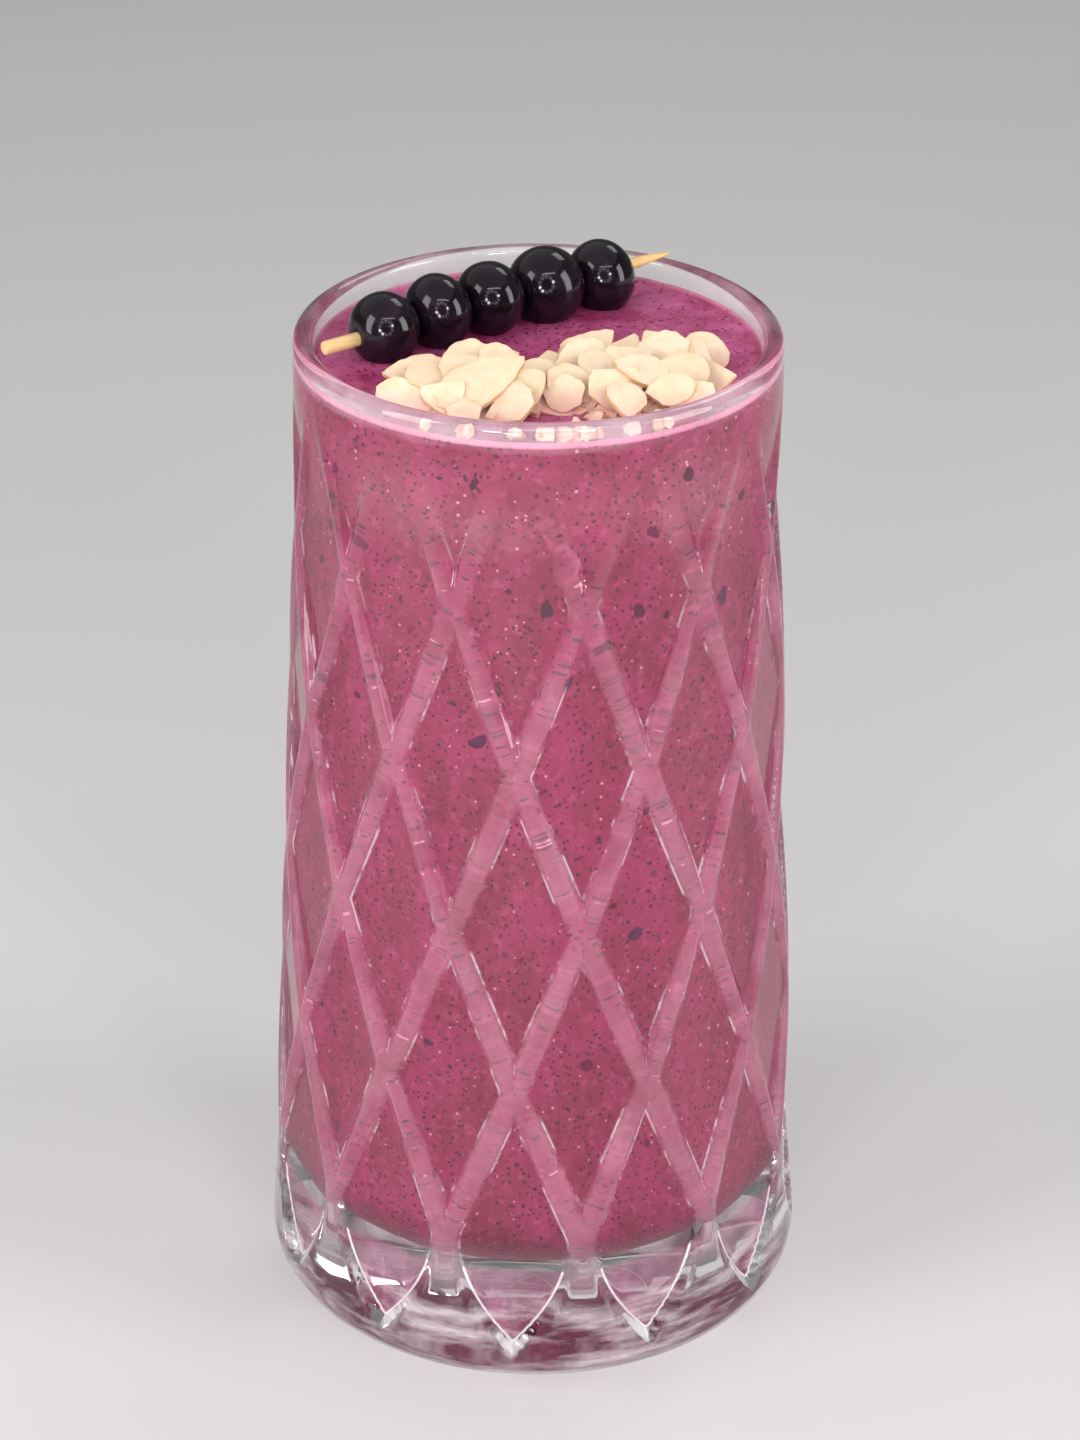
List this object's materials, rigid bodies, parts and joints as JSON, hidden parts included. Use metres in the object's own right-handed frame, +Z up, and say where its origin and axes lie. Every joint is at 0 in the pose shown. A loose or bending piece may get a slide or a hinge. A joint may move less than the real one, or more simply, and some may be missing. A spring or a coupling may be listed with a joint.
{
  "type": "berry smoothie in a glass",
  "caption": "Thick pink berry smoothie in a tall diamond-cut glass, topped with a skewer of dark berries and a drift of sliced almonds.",
  "frame": {"origin": "middle of the underside of the glass's foot, on the surface it stands on", "axes": "+Z up along the glass's axis; -Y is the front, where the drift of almonds lies; +X is to the right, and the skewer runs from the left toward the back right"},
  "size_m": [0.0882, 0.0882, 0.1751],
  "materials": {
    "clear_glass": "clear, polished, pressed",
    "smoothie": "thick, wet, flecked with berry skin",
    "pale_wood": "plain, unvarnished",
    "berry_skin": "glossy dark purple skin",
    "almond": "matt cream slices"
  },
  "bodies": {
    "root": {"glass": "clear_glass", "smoothie": "smoothie", "skewer": "pale_wood", "berry_1": "berry_skin", "berry_2": "berry_skin", "berry_3": "berry_skin", "berry_4": "berry_skin", "berry_5": "berry_skin", "almond_flakes": "almond"}
  },
  "joints": []
}
